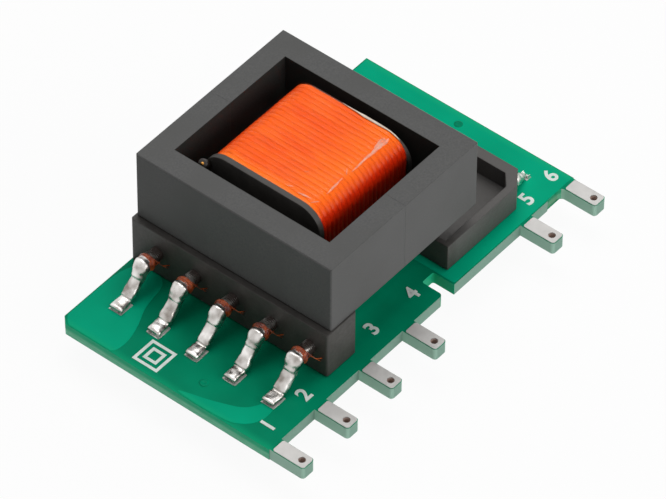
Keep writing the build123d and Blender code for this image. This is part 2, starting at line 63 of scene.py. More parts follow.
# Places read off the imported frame
board_low, board_high = box("circuit_board")
coil_low, coil_high = box("primary_winding_outer")
film_low, film_high = box("winding_film")
bobbin_low = box("bobbin")[0]
wraps_low, wraps_high = box("primary_wire_wraps")
land_low, land_high = box("primary_lands")
core_low = box("core_half_primary")[0]
core_high = box("core_half_secondary")[1]
core_middle = (core_low + core_high) / 2
CORE_BACK = 1.63            # thickness of the core's back, along X
CORE_LEG = 1.45             # and of its outer legs, along Y
EDGE_SKIN = 0.02            # depth of core that takes the painted shade of the window's walls
WINDOW_HALF_X = core_high.x - core_middle.x - CORE_BACK + EDGE_SKIN
WINDOW_HALF_Y = core_high.y - core_middle.y - CORE_LEG + EDGE_SKIN
board_top = board_high.z
board_bottom = board_low.z
land_top = land_high.z
FINGER_LENGTH = 2.35
FINGER_X = (-12.875, -9.065, -5.255, -1.445, 9.065, 12.875)
HOLE_FROM_TIP = 0.5         # middle of a finger's hole from its tip
board_front = board_low.y + FINGER_LENGTH
board_back = board_high.y
board_left = board_low.x
board_right = board_high.x
PIN_NAMES = [f"primary_pin_{i}" for i in range(1, 6)]
ALONG_X = Vector((1, 0, 0))
ALONG_Y = Vector((0, 1, 0))
ALONG_Z = Vector((0, 0, 1))


def linear(hex_colour):
    """sRGB hex text to a linear RGBA tuple."""
    channels = [int(hex_colour[i:i + 2], 16) / 255 for i in (0, 2, 4)]
    values = [c / 12.92 if c <= 0.04045 else ((c + 0.055) / 1.055) ** 2.4 for c in channels]
    return (*values, 1.0)


# Materials

class Shader:
    """A procedural Principled material being put together.

    Sockets that are the same all over are given by name, with _ for each space."""

    def __init__(self, name, **sockets):
        self.material = bpy.data.materials.new(name)
        self.material.use_nodes = True
        self.tree = self.material.node_tree
        self.bsdf = self.tree.nodes["Principled BSDF"]
        self.place = self.add("ShaderNodeTexCoord").outputs["Object"]
        for socket, value in sockets.items():
            self.bsdf.inputs[socket.replace("_", " ")].default_value = value

    def add(self, kind, **settings):
        node = self.tree.nodes.new(kind)
        for name, value in settings.items():
            setattr(node, name, value)
        return node

    def feed(self, value, socket):
        """Link an output to a socket, or set the socket to a value."""
        if isinstance(value, bpy.types.NodeSocket):
            self.tree.links.new(value, socket)
        else:
            socket.default_value = value

    def noise(self, scale, detail=3.0, stretch=(1, 1, 1)):
        """Noise with scale cells a millimetre, stretched along the axes."""
        mapping = self.add("ShaderNodeMapping")
        mapping.inputs["Scale"].default_value = [s / MM for s in stretch]
        self.feed(self.place, mapping.inputs["Vector"])
        texture = self.add("ShaderNodeTexNoise")
        texture.inputs["Scale"].default_value = scale
        texture.inputs["Detail"].default_value = detail
        self.feed(mapping.outputs["Vector"], texture.inputs["Vector"])
        return texture.outputs["Fac"]

    def ramp(self, factor, *stops):
        """Colour ramp over (position, hex colour) stops."""
        node = self.add("ShaderNodeValToRGB")
        while len(node.color_ramp.elements) < len(stops):
            node.color_ramp.elements.new(0.5)
        for element, (position, colour) in zip(node.color_ramp.elements, stops):
            element.position = position
            element.color = linear(colour)
        self.feed(factor, node.inputs["Fac"])
        return node.outputs["Color"]

    def mix(self, factor, first, second):
        """Mix of two colours, given as outputs or hex text."""
        node = self.add("ShaderNodeMix", data_type="RGBA")
        first, second = [linear(c) if isinstance(c, str) else c for c in (first, second)]
        for value, index in ((factor, 0), (first, 6), (second, 7)):
            self.feed(value, node.inputs[index])
        return node.outputs[2]

    def math(self, operation, first, second=0.0):
        node = self.add("ShaderNodeMath", operation=operation)
        self.feed(first, node.inputs[0])
        self.feed(second, node.inputs[1])
        return node.outputs[0]

    def span(self, value, low, high, to_low=0.0, to_high=1.0):
        """Smooth step of a value from low to high."""
        node = self.add("ShaderNodeMapRange", interpolation_type="SMOOTHSTEP")
        for name, number in (("From Min", low), ("From Max", high),
                             ("To Min", to_low), ("To Max", to_high)):
            node.inputs[name].default_value = number
        self.feed(value, node.inputs["Value"])
        return node.outputs["Result"]

    def axis(self, letter):
        """One object coordinate, in metres."""
        split = self.add("ShaderNodeSeparateXYZ")
        self.feed(self.place, split.inputs[0])
        return split.outputs[letter]

    def colour(self, source):
        self.feed(source, self.bsdf.inputs["Base Color"])

    def roughness(self, factor, low, high):
        self.feed(self.span(factor, 0.3, 0.7, low, high), self.bsdf.inputs["Roughness"])

    def bump(self, height, depth, strength=1.0, under=None):
        """Bump with the given depth in millimetres, over the normal that under gives."""
        node = self.add("ShaderNodeBump")
        node.inputs["Strength"].default_value = strength
        node.inputs["Distance"].default_value = depth * MM
        self.feed(height, node.inputs["Height"])
        if under is not None:
            self.feed(under, node.inputs["Normal"])
        self.feed(node.outputs["Normal"], self.bsdf.inputs["Normal"])

    def soft_edges(self, radius):
        """Rounded shading of sharp edges."""
        node = self.add("ShaderNodeBevel", samples=6)
        node.inputs["Radius"].default_value = radius * MM
        return node.outputs["Normal"]


EDGE_GLOW = 0.55            # mask turns paler this near the board's ends
SLOT_X = 2.125              # middle of the slot, whose walls are painted a bright green, as painted light against their shade
SLOT_HALF = 0.53            # half its width and a little more
MASK_SHEEN = 0.03           # specular level of the mask


def end_glow(m):
    """Share of the paler mask, which grows to 1 at the board's ends."""
    from_end = m.math("SUBTRACT", board_right * MM, m.math("ABSOLUTE", m.axis("X")))
    return m.span(from_end, EDGE_GLOW * MM, 0.0)


def board_material():
    """Green mask on the faces, paler glass-epoxy low on the cut edges, and painted light that makes
    cut edges facing along X paler still.
    """
    m = Shader("board_mask", Roughness=0.3, Specular_IOR_Level=MASK_SHEEN)
    bare = m.ramp(m.noise(0.45, 2.0), (0.3, "00835F"), (0.7, "008E68"))
    faces = m.mix(end_glow(m), bare, "0A9C70")
    layers = m.noise(5.0, 2.0, (0.25, 0.25, 2.4))
    front = m.ramp(layers, (0.35, "57936F"), (0.65, "6BA884"))
    side = m.ramp(layers, (0.35, "78D6AC"), (0.65, "90E4BE"))
    normal = m.add("ShaderNodeSeparateXYZ")
    m.feed(m.add("ShaderNodeNewGeometry").outputs["True Normal"], normal.inputs[0])
    # Painted light: cut edges facing along X stand in shade, so their colours here are painted
    # paler to make up for it.
    sideways = m.math("ABSOLUTE", normal.outputs["X"])
    laminate = m.mix(sideways, front, side)
    depth = m.span(m.axis("Z"), board_bottom * MM, board_top * MM)
    edge = m.mix(m.span(depth, 0.35, 0.85), laminate, m.mix(sideways, "0C8F66", "3CC492"))
    # The fingers' cut sides are pale, and painted paler still, as painted light, where they face
    # along X.
    on_finger = m.math("LESS_THAN", m.axis("Y"), board_front * MM)
    edge = m.mix(on_finger, edge, m.mix(sideways, "84A696", "BAE2CE"))
    # Painted light: the slot's walls are painted as bright as the lit mask on top.
    from_slot = m.math("ABSOLUTE", m.math("SUBTRACT", m.axis("X"), SLOT_X * MM))
    edge = m.mix(m.math("LESS_THAN", from_slot, SLOT_HALF * MM), edge, "22B889")
    upright = m.math("ABSOLUTE", normal.outputs["Z"])
    m.colour(m.mix(m.math("GREATER_THAN", upright, 0.7), edge, faces))
    m.bump(m.noise(8.0, 2.0), 0.004, 0.5)
    return m.material


def copper_material():
    """Mask over copper, brighter than over bare laminate."""
    m = Shader("mask_over_copper", Roughness=0.3, Specular_IOR_Level=MASK_SHEEN)
    tone = m.ramp(m.noise(0.3, 2.0), (0.3, "00A27A"), (0.7, "01AC83"))
    m.colour(m.mix(end_glow(m), tone, "12AE7F"))
    m.bump(m.noise(7.0, 2.0), 0.004, 0.4)
    return m.material


def metal_material(name, dark, light, rough, lump, scale=1.8, metallic=1.0):
    """Tinned or solder-dipped metal with an uneven sheen."""
    m = Shader(name, Metallic=metallic)
    m.colour(m.ramp(m.noise(scale, 2.0), (0.3, dark), (0.7, light)))
    m.roughness(m.noise(2.6, 3.0), *rough)
    m.bump(m.noise(scale, 1.5), lump)
    return m.material


def ferrite_material():
    """Ground ferrite: dark grey, a fine grain, faint grinding lines and painted shade on the
    window's walls.
    """
    m = Shader("ferrite", Specular_IOR_Level=0.1)
    grain = m.noise(9.0, 4.0)
    base = m.ramp(grain, (0.3, "575757"), (0.7, "636362"))
    outside = m.mix(m.span(m.noise(0.35, 3.0), 0.35, 0.75), base, "5A5A59")
    # Painted shade: the core is darker inside its window, where shade falls.
    reach = [m.math("ABSOLUTE", m.math("SUBTRACT", m.axis(letter), middle * MM))
             for letter, middle in (("X", core_middle.x), ("Y", core_middle.y))]
    painted_window_shade = m.math("MULTIPLY", m.math("LESS_THAN", reach[0], WINDOW_HALF_X * MM),
                    m.math("LESS_THAN", reach[1], WINDOW_HALF_Y * MM))
    m.colour(m.mix(painted_window_shade, outside, "343331"))
    m.roughness(grain, 0.4, 0.55)
    lines = m.noise(9.0, 2.0, (0.06, 1.0, 1.0))
    m.bump(m.mix(0.4, grain, lines), 0.005, 0.6, m.soft_edges(0.07))
    return m.material


TRAY_PAINTED_LIGHT = (3.6, 4.2)      # where the bobbin turns to the paler tray, along X; the paler tray is painted light


def moulding_material(name, dark, light, rough, edge, tray=None):
    """Moulded plastic with a fine matt grain, and painted light that makes it paler at the tray
    where a colour for it is given.
    """
    m = Shader(name, Specular_IOR_Level=0.3)
    base = m.ramp(m.noise(1.1, 3.0), (0.3, dark), (0.7, light))
    if tray:
        # Painted light: the tray is painted paler, where more light falls on it.
        tray_painted_light = m.span(m.axis("X"), TRAY_PAINTED_LIGHT[0] * MM, TRAY_PAINTED_LIGHT[1] * MM)
        base = m.mix(tray_painted_light, base, tray)
    m.colour(base)
    m.roughness(m.noise(6.0, 2.0), *rough)
    m.bump(m.noise(10.0, 3.0), 0.005, 0.5, m.soft_edges(edge))
    return m.material


COIL_SHADE = (0.9, 0.02)    # depths below the top, where the red of the painted shade ends and the orange is full
COIL_FRONT = (4.2, 1.2)     # distances from the coil's front, where yellow, partly painted light, starts and is full
COIL_FLANGE = 0.9           # distance from the near flange where yellow, partly painted light, starts


def coil_material():
    """Orange insulated wire, deeper and redder down the sides of the coil, which is partly painted
    shade, and yellower at the top's front and by the near flange, which is partly painted light.
    """
    m = Shader("orange_wire", Roughness=0.34, Specular_IOR_Level=0.12)
    patches = m.noise(0.8, 3.0, (2.2, 0.5, 0.5))
    top = m.ramp(patches, (0.3, "B63E04"), (0.7, "C04B06"))
    # Partly painted shade: the wire turns deeper red down the coil's sides.
    up = m.span(m.axis("Z"), *[(coil_high.z - depth) * MM for depth in COIL_SHADE])
    # Partly painted light: the top turns yellower towards the front edge and the near flange.
    front = m.span(m.axis("Y"), *[(coil_low.y + reach) * MM for reach in COIL_FRONT], 0.0, 0.35)
    flange = m.span(m.axis("X"), (coil_low.x + COIL_FLANGE) * MM, coil_low.x * MM, 0.0, 0.6)
    top = m.mix(m.math("MAXIMUM", front, flange), top, "C8640C")
    m.colour(m.mix(up, "A41C00", top))
    m.bump(m.noise(6.0, 2.0), 0.006, 0.5)
    return m.material


def wire_material(name, dark, light):
    """Enamelled wire."""
    m = Shader(name, Roughness=0.3, Coat_Weight=0.3, Coat_Roughness=0.2)
    m.colour(m.ramp(m.noise(2.6, 3.0), (0.35, dark), (0.65, light)))
    m.bump(m.noise(6.0, 2.0), 0.006, 0.6)
    return m.material


def film_material():
    """Clear film that lies close on the wire, so it hardly reflects."""
    m = Shader("clear_film", Roughness=0.05, IOR=1.04, Transmission_Weight=1.0)
    m.colour(m.ramp(m.noise(0.6, 2.0), (0.3, "FFF6EE"), (0.7, "FFFFFF")))
    m.bump(m.noise(1.1, 3.0, (1.0, 0.4, 1.0)), 0.02, 0.6)
    return m.material


def small_material(name, dark, light, rough, **sockets):
    """Small parts: a slightly uneven colour and a fine surface."""
    m = Shader(name, **sockets)
    m.colour(m.ramp(m.noise(2.0, 3.0), (0.3, dark), (0.7, light)))
    m.roughness(m.noise(4.0, 2.0), *rough)
    m.bump(m.noise(10.0, 3.0), 0.004, 0.6)
    return m.material


board_green = board_material()
copper_green = copper_material()
tin = metal_material("tin_plating", "C0BEBB", "CECCC9", (0.4, 0.5), 0.004, 1.0, 0.25)
# The solder's dark and pale patches are partly its uneven tone and partly painted reflection.
solder = metal_material("solder", "8C857E", "F0EDEA", (0.2, 0.4), 0.07, 1.3)
smooth_solder = metal_material("smooth_solder", "ADA8A2", "EFECE8", (0.25, 0.4), 0.02, 1.0)
lead_tin = metal_material("lead_tin", "A9A7A4", "CCCAC7", (0.24, 0.4), 0.008)
ferrite = ferrite_material()
bobbin_black = moulding_material("bobbin_black", "3D3B39", "494643", (0.42, 0.56), 0.1, "514F4D")
package_black = moulding_material("package_black", "1D1D1F", "29292B", (0.5, 0.65), 0.05)
orange_wire = coil_material()
copper_wire = wire_material("copper_wire", "641703", "C4561A")
clear_film = film_material()
film_white = small_material("film_edge", "DCCBB8", "F2E6D8", (0.2, 0.35))
# Painted highlight: pale, half-clear slivers laid over the film.
painted_film_highlight = small_material("painted_film_highlight", "F6B090", "FFE4D4", (0.2, 0.3), Alpha=0.24)
yellow_tape = small_material("yellow_tape", "D9A02A", "E9BC4A", (0.25, 0.4))
ceramic_tan = small_material("ceramic_tan", "9A7A58", "B08F6A", (0.4, 0.55))
resistor_glaze = small_material("resistor_glaze", "202124", "2A2B30", (0.2, 0.35))
# Painted shade: near-black for the dark stretch of pin between the wraps and the rail.
painted_shade_black = moulding_material("painted_shade_black", "1B1512", "2A1F1A", (0.6, 0.75), 0.02)
hole_brown = small_material("hole_brown", "8E7468", "AC948A", (0.4, 0.6))
sleeve_black = small_material("sleeve_black", "15110E", "241C17", (0.3, 0.45))
bright_copper = small_material("bright_copper", "B07A35", "D9A25A", (0.25, 0.4), Metallic=1.0)
print_white = small_material("print_white", "D5E2DB", "E9F1EC", (0.5, 0.65))


def dress(material, *names):
    """Put a material on CAD nodes that are shown as they are."""
    for name in names:
        mesh = nodes[name].data
        mesh.materials.clear()
        mesh.materials.append(material)


dress(lead_tin, *[name for name in nodes if name.endswith(("_leads", "_ends"))])
dress(copper_wire, "primary_leads", "primary_winding_inner", "secondary_winding")
dress(orange_wire, "secondary_leads")
dress(board_green, "circuit_board")
dress(tin, "contact_pads", "underside_lands", "primary_lands", "secondary_lands")
dress(solder, "secondary_solder")
dress(ferrite, "core_half_primary", "core_half_secondary")
dress(bobbin_black, "bobbin")
dress(yellow_tape, "insulation_tape_inner", "insulation_tape_outer")
dress(package_black, "bridge_rectifier", "controller_ic", "optocoupler", "output_diode",
      "clamp_diode", "supply_diode", "shunt_regulator")
dress(ceramic_tan, "output_capacitors", "supply_capacitors", "isolation_capacitor")
dress(resistor_glaze, "chip_resistors")


# Mesh helpers

class Skin:
    """Vertices and faces of one piece, in millimetres."""

    def __init__(self):
        self.verts = []
        self.faces = []

    def tube(self, rings, closed=False):
        """Skin over a list of equal rings, capped at each end or closed on itself."""
        start = len(self.verts)
        count = len(rings[0])
        for ring in rings:
            self.verts.extend(ring)
        spans = len(rings) if closed else len(rings) - 1
        for i in range(spans):
            a = start + i * count
            b = start + (i + 1) % len(rings) * count
            for j in range(count):
                k = (j + 1) % count
                self.faces.append((a + j, a + k, b + k, b + j))
        if not closed:
            last = start + (len(rings) - 1) * count
            self.faces.append(tuple(start + j for j in reversed(range(count))))
            self.faces.append(tuple(last + j for j in range(count)))

    def slab(self, outline, low, high, inset):
        """Flat plate over an (x, y) outline, its far edge drawn in by inset."""
        centre = sum(outline, Vector((0, 0))) / len(outline)
        drawn = [p + (centre - p).normalized() * inset for p in outline]
        edge = high - inset if high > low else high + inset
        self.tube([[Vector((*p, low)) for p in outline], [Vector((*p, edge)) for p in outline],
                   [Vector((*p, high)) for p in drawn]])

    def piece(self, name, material, replaced=(), smooth=True):
        """Make the object, let it ride on the one body and hide the CAD nodes that it replaces."""
        mesh = bpy.data.meshes.new(name)
        mesh.from_pydata([tuple(Vector(v) * MM) for v in self.verts], [], self.faces)
        mesh.validate()
        mesh.materials.append(material)
        for polygon in mesh.polygons:
            polygon.use_smooth = smooth
        obj = bpy.data.objects.new(name, mesh)
        bpy.context.scene.collection.objects.link(obj)
        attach(obj, "root")
        if replaced:
            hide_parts(*replaced)
        return obj


SEED_STRIDE = Vector((7.3, 3.1, 1.7))       # gives each seed its own stretch of noise


def wobble(place, scale, seed):
    """Smooth noise between about -1 and 1 at a place, scale cells a millimetre."""
    return noise.noise(Vector(place) * scale + SEED_STRIDE * seed)


def circle(middle, first, second, radius, sides):
    """Ring of points round middle, in the plane of two unit vectors."""
    turns = [2 * math.pi * i / sides for i in range(sides)]
    return [middle + (first * math.cos(a) + second * math.sin(a)) * radius for a in turns]


def between(table, share):
    """Value at share in a table of (share, value) rows, with smooth steps between rows."""
    for (s0, v0), (s1, v1) in zip(table, table[1:]):
        if share <= s1:
            t = max(0.0, (share - s0) / (s1 - s0))
            return v0 + (v1 - v0) * t * t * (3 - 2 * t)
    return table[-1][1]


def rounded_path(corners, radius, step):
    """Points along straight runs joined by smooth bends."""
    points = [corners[0]]

    def run_to(end):
        start = points[-1]
        count = max(1, round((end - start).length / step))
        points.extend(start.lerp(end, i / count) for i in range(1, count + 1))

    for before, corner, after in zip(corners, corners[1:], corners[2:]):
        into = (corner - before).normalized()
        out = (after - corner).normalized()
        cut = radius * math.tan(into.angle(out) / 2)
        first, last = corner - into * cut, corner + out * cut
        run_to(first)
        count = max(3, round(2 * cut / step))
        for i in range(1, count + 1):
            t = i / count
            points.append(first.lerp(corner, t).lerp(corner.lerp(last, t), t))
    run_to(corners[-1])
    return points


def direction(points, index):
    """Unit vector along a list of points, at one of them."""
    return (points[min(index + 1, len(points) - 1)] - points[max(index - 1, 0)]).normalized()


def squared(angle, power):
    """Point of the unit circle, which turns squarer as power falls from 1."""
    c, s = math.cos(angle), math.sin(angle)
    return (math.copysign(abs(c) ** power, c), math.copysign(abs(s) ** power, s))


# Winding: twenty turns round the barrel, each crossing to the next on the underside

TURNS = 20
TURN_SIDES = 12
CORNER_STEPS = 7
STRAIGHT_STEP = 0.5
WIRE_RADIUS = 0.165
WIRE_SQUARENESS = 0.6
TURN_WIDTH = 1.2            # turns press into each other, which leaves shallow grooves
TURN_SUNK = 0.022           # of the turns below the winding's outer surface
TURN_WAVER = 0.02
COIL_CORNER = 1.46          # outer corner radius of the winding
DOWNWARD = -0.999           # normals below this belong to the underside
coil_middle = (coil_low + coil_high) / 2
coil_half_y = (coil_high.y - coil_low.y) / 2
coil_half_z = (coil_high.z - coil_low.z) / 2
turn_pitch = (coil_high.x - coil_low.x) / TURNS


def coil_section(outward):
    """Rounded loop that lies outward from the winding's outer surface.

    Starts in the middle of the underside. Rows are (y, z, normal y, normal z)."""
    half_y, half_z = coil_half_y + outward, coil_half_z + outward
    radius = COIL_CORNER + outward
    flat_y, flat_z = half_y - radius, half_z - radius
    rows = []

    def straight(start, end, normal):
        count = max(2, round((end - start).length / STRAIGHT_STEP))
        rows.extend((*start.lerp(end, i / count), *normal) for i in range(count))

    def corner(y, z, first):
        for i in range(CORNER_STEPS):
            a = math.radians(first + 90 * i / CORNER_STEPS)
            rows.append((y + radius * math.cos(a), z + radius * math.sin(a),
                         math.cos(a), math.sin(a)))

    straight(Vector((0, -half_z)), Vector((flat_y, -half_z)), (0, -1))
    corner(flat_y, -flat_z, -90)
    straight(Vector((half_y, -flat_z)), Vector((half_y, flat_z)), (1, 0))
    corner(flat_y, flat_z, 0)
    straight(Vector((flat_y, half_z)), Vector((-flat_y, half_z)), (0, 1))
    corner(-flat_y, flat_z, 90)
    straight(Vector((-half_y, flat_z)), Vector((-half_y, -flat_z)), (-1, 0))
    corner(-flat_y, -flat_z, 180)
    straight(Vector((-flat_y, -half_z)), Vector((0, -half_z)), (0, -1))
    return rows


turn_loop = coil_section(-WIRE_RADIUS)
underside_run = coil_half_y - COIL_CORNER
winding = Skin()
rings = []
for turn in range(TURNS):
    for index, (y, z, ny, nz) in enumerate(turn_loop):
        x = coil_low.x + (turn + 0.5) * turn_pitch
        if nz < DOWNWARD:
            lag = max(0.0, 1 - abs(y) / underside_run)
            x += (-1 if index < len(turn_loop) / 2 else 1) * lag * turn_pitch / 2
        x = min(max(x, coil_low.x + WIRE_RADIUS), coil_high.x - WIRE_RADIUS)
        place = Vector((x, coil_middle.y + y, coil_middle.z + z))
        x += TURN_WAVER * wobble(place, 0.9, 1)
        sunk = TURN_SUNK + TURN_WAVER * wobble(place, 0.7, 2)
        ring = []
        for side in range(TURN_SIDES):
            c, s = squared(2 * math.pi * side / TURN_SIDES, WIRE_SQUARENESS)
            out = WIRE_RADIUS * c - sunk
            ring.append(Vector((x + TURN_WIDTH * turn_pitch / 2 * s, place.y + ny * out,
                                place.z + nz * out)))
        rings.append(ring)
winding.tube(rings)
winding.piece("insulated_wire_winding", orange_wire, ["primary_winding_outer"])

# Clear film round the winding, with small creases along its bent edges

FILM_STEPS = 64
FILM_THICKNESS = 0.022
FILM_LIFT = 0.012           # film above the turns
FILM_RIPPLE = 0.004
FILM_CREASE = 0.014         # along the bent edges
film = Skin()
film_loop = coil_section(FILM_LIFT)
rings = []
for layer in (FILM_THICKNESS, 0.0):
    steps = range(FILM_STEPS + 1) if layer else reversed(range(FILM_STEPS + 1))
    for step in steps:
        share = step / FILM_STEPS
        x = film_low.x + (film_high.x - film_low.x) * share
        ring = []
        for y, z, ny, nz in film_loop:
            place = Vector((x, coil_middle.y + y, coil_middle.z + z))
            bent = 4 * ny * ny * nz * nz
            out = FILM_RIPPLE * (1 + wobble(place, 1.1, 4))
            out += FILM_CREASE * bent * wobble(place, 3.2, 5) + layer
            ring.append(place + Vector((0, ny, nz)) * out)
        rings.append(ring)
film.tube(rings, closed=True)
film_piece = film.piece("clear_winding_film", clear_film, ["winding_film"])
film_piece.visible_shadow = False

# Curled end of the film, against the far flange

CURL_FROM, CURL_TO = -3.6, 0.9      # from the middle of the coil, along Y
CURL_LIFT = 0.02            # above the winding's outer surface
CURL_UPWARD = 0.3           # normals above this belong to the upper side
CURL_WIDTH = 0.2
CURL_THINNEST = 0.03
CURL_INSIDE = 0.6           # share of the width that lies on the winding
CURL_WAVER = 0.7
CURL_PROFILE = ((0, 0.0), (1, -0.04), (1, -0.015), (0.4, 0.035), (0, 0.02))     # share, lift
curl = Skin()
rings = []
upper = [row for row in coil_section(CURL_LIFT)
         if row[3] > CURL_UPWARD and CURL_FROM < row[0] < CURL_TO]
for index, (y, z, ny, nz) in enumerate(upper):
    share = index / (len(upper) - 1)
    width = CURL_WIDTH * math.sin(math.pi * share) ** 0.6
    width = max(CURL_THINNEST, width * (1 + CURL_WAVER * wobble((share * 5, 0, 0), 1.3, 6)))
    foot = Vector((coil_high.x - CURL_INSIDE * width, coil_middle.y + y, coil_middle.z + z))
    rings.append([foot + Vector((across * width, ny * lift, nz * lift))
                  for across, lift in CURL_PROFILE])
curl.tube(rings)
curl.piece("film_curl", film_white)

# Painted highlights on the film's creases, along the coil's front upper edge and by the near flange

GLINT_LIFT = 0.05
GLINT_STEPS = 16
GLINT_THICKNESS = 0.002
GLINT_STEP = 0.004          # between glints that lie over each other
GLINT_LEVELS = 3
GLINT_TIP = 0.06            # share of the width left at the tips
GLINT_WAVER = 0.6

# From x, y to x, y, and half the width
glints = [(-2.75, -1.56, -1.6, -1.52, 0.04), (-2.5, -1.52, -1.2, -1.47, 0.05),
          (-0.95, -1.5, -0.55, -1.2, 0.03), (-0.6, -1.54, 0.9, -1.5, 0.05),
          (0.1, -1.5, 1.5, -1.46, 0.07), (0.9, -1.54, 2.3, -1.46, 0.1),
          (1.3, -1.46, 2.6, -1.34, 0.1), (1.7, -1.56, 2.75, -1.5, 0.09),
          (1.6, -1.36, 2.5, -1.24, 0.06), (-3.75, -0.3, -3.6, -0.95, 0.05),
          (-3.72, -0.6, -3.6, -1.2, 0.05), (-3.85, -1.35, -3.4, -1.6, 0.05),
          (-3.7, 0.5, -3.5, 0.1, 0.03), (-2.3, 0.4, -2.1, 0.2, 0.02)]


def coil_surface(x, y):
    """Place just above the film's upper side, on its front rounding too."""
    centre_y = coil_low.y + COIL_CORNER
    lean = min(1.0, max(0.0, (centre_y - y) / COIL_CORNER))
    drop = COIL_CORNER * (1 - math.sqrt(1 - lean * lean))
    return Vector((x, y, coil_high.z - drop + GLINT_LIFT))


glint_skin = Skin()
for number, (x0, y0, x1, y1, half) in enumerate(glints):
    rings = []
    for step in range(GLINT_STEPS + 1):
        share = step / GLINT_STEPS
        x, y = x0 + (x1 - x0) * share, y0 + (y1 - y0) * share
        half_share = GLINT_TIP + math.sin(math.pi * share) ** 0.7
        half_share *= 1 + GLINT_WAVER * wobble((x, y, number), 2.5, 8)
        across = Vector((y0 - y1, x1 - x0)).normalized() * half * half_share
        raised = ALONG_Z * GLINT_STEP * (number % GLINT_LEVELS)
        left = coil_surface(x + across.x, y + across.y) + raised
        right = coil_surface(x - across.x, y - across.y) + raised
        sunk = ALONG_Z * GLINT_THICKNESS
        rings.append([left, left - sunk, right - sunk, right])
    glint_skin.tube(rings)
glint_piece = glint_skin.piece("painted_film_glints", painted_film_highlight)
glint_piece.visible_shadow = False

# Primary pins: solder-dipped, lumpy, bent down to their lands

PIN_SHOULDER = 1.26         # from the rail
PIN_RISE = 0.08             # of the shoulder above the middle of the hole
PIN_DROP = (0.42, 0.72)     # steep stretch after the shoulder, along and down
PIN_FOOT = 0.92             # flat foot, from the tip back
PIN_BEND = 0.5
PIN_STEP = 0.05
PIN_SIDES = 20
PIN_SQUARENESS = 0.72
PIN_SWELL = 0.1             # share by which the width and height vary
PIN_LUMPS = ((0.06, 1.3, 0), (0.025, 3.1, 20))      # size, cells a millimetre, seed
LUMP_START = 0.2            # share of the path over which the lumps grow
FOOT_HALF_THICKNESS = 0.2
FOOT_CLEARANCE = 0.01       # above the land

# Half sizes at shares of the path
HALF_WIDTH = [(0, 0.36), (0.25, 0.4), (0.275, 0.49), (0.34, 0.48), (0.42, 0.43), (0.52, 0.39),
              (0.6, 0.4), (0.68, 0.44), (0.74, 0.44), (0.78, 0.4), (0.83, 0.42), (0.97, 0.43),
              (1, 0.41)]
HALF_HEIGHT = [(0, 0.36), (0.25, 0.4), (0.275, 0.49), (0.34, 0.46), (0.42, 0.4), (0.52, 0.34),
               (0.6, 0.31), (0.68, 0.33), (0.74, 0.31), (0.78, 0.22), (0.83, 0.22), (0.97, 0.2),
               (1, 0.16)]


def dipped_pin(node, seed):
    """Solder-coated pin along the CAD pin's path."""
    low, high = box(node)
    y = (low.y + high.y) / 2
    axis_z = high.z - (high.y - low.y) / 2
    foot_z = land_top + FOOT_HALF_THICKNESS
    shoulder = Vector((bobbin_low.x - PIN_SHOULDER, y, axis_z + PIN_RISE))
    corners = [Vector((bobbin_low.x, y, axis_z)), shoulder,
               shoulder - Vector((PIN_DROP[0], 0, PIN_DROP[1])),
               Vector((low.x + PIN_FOOT, y, foot_z)), Vector((low.x, y, foot_z))]
    path = rounded_path(corners, PIN_BEND, PIN_STEP)
    rings = []
    for i, point in enumerate(path):
        share = i / (len(path) - 1)
        top = ALONG_Y.cross(direction(path, i))
        top = top if top.z > 0 else -top
        wide = between(HALF_WIDTH, share) * (1 + PIN_SWELL * wobble((share * 6, 0, 0), 1, seed))
        tall = between(HALF_HEIGHT, share) * (1 + PIN_SWELL * wobble((share * 7, 5, 0), 1, seed))
        ring = []
        for side in range(PIN_SIDES):
            c, s = squared(2 * math.pi * side / PIN_SIDES, PIN_SQUARENESS)
            offset = ALONG_Y * c * wide + top * s * tall
            place = point + offset
            lump = sum(size * wobble(place, scale, seed + shift)
                       for size, scale, shift in PIN_LUMPS)
            moved = place + offset.normalized() * lump * min(1.0, share / LUMP_START)
            moved.z = max(moved.z, land_top + FOOT_CLEARANCE)
            ring.append(moved)
        rings.append(ring)
    skin = Skin()
    skin.tube(rings)
    return skin.piece(f"dipped_{node}", solder, [node])


for number, node in enumerate(PIN_NAMES, 1):
    dipped_pin(node, number)

# Solder round the primary feet

MOUND_RINGS = 9
MOUND_SIDES = 32
MOUND_HEIGHT = 0.05
MOUND_PAST_LAND = 0.015     # past the land's ends
MOUND_PAST_PIN = 0.075      # past the CAD pin's sides
MOUND_TIP = 0.02            # share of the outline left at the top
MOUND_SQUARENESS = 0.25
MOUND_WAVER = 0.03
MOUND_SEED = 40
mounds = Skin()
for number, node in enumerate(PIN_NAMES, 1):
    low, high = box(node)
    middle = Vector(((land_low.x + land_high.x) / 2, (low.y + high.y) / 2, board_top))
    half_x = (land_high.x - land_low.x) / 2 + MOUND_PAST_LAND
    half_y = (high.y - low.y) / 2 + MOUND_PAST_PIN
    rings = []
    for step in range(MOUND_RINGS):
        turn = step / (MOUND_RINGS - 1) * math.pi / 2
        spread = math.cos(turn) * (1 - MOUND_TIP) + MOUND_TIP
        height = MOUND_HEIGHT * math.sin(turn) ** 1.5
        ring = []
        for side in range(MOUND_SIDES):
            c, s = squared(2 * math.pi * side / MOUND_SIDES, MOUND_SQUARENESS)
            spot = Vector((c * half_x * spread, s * half_y * spread, 0))
            spot *= 1 + MOUND_WAVER * wobble(middle + spot, 1.6, number + MOUND_SEED)
            ring.append(middle + spot + Vector((0, 0, height)))
        rings.append(ring)
    mounds.tube(rings)
mounds.piece("primary_solder_mounds", solder, ["primary_solder"])

# Fine enamelled wire wound in two layers round each primary pin, with two tails to the rail.
# Between the wrap and the rail the pin is covered by a dark, rippled sleeve of painted shade

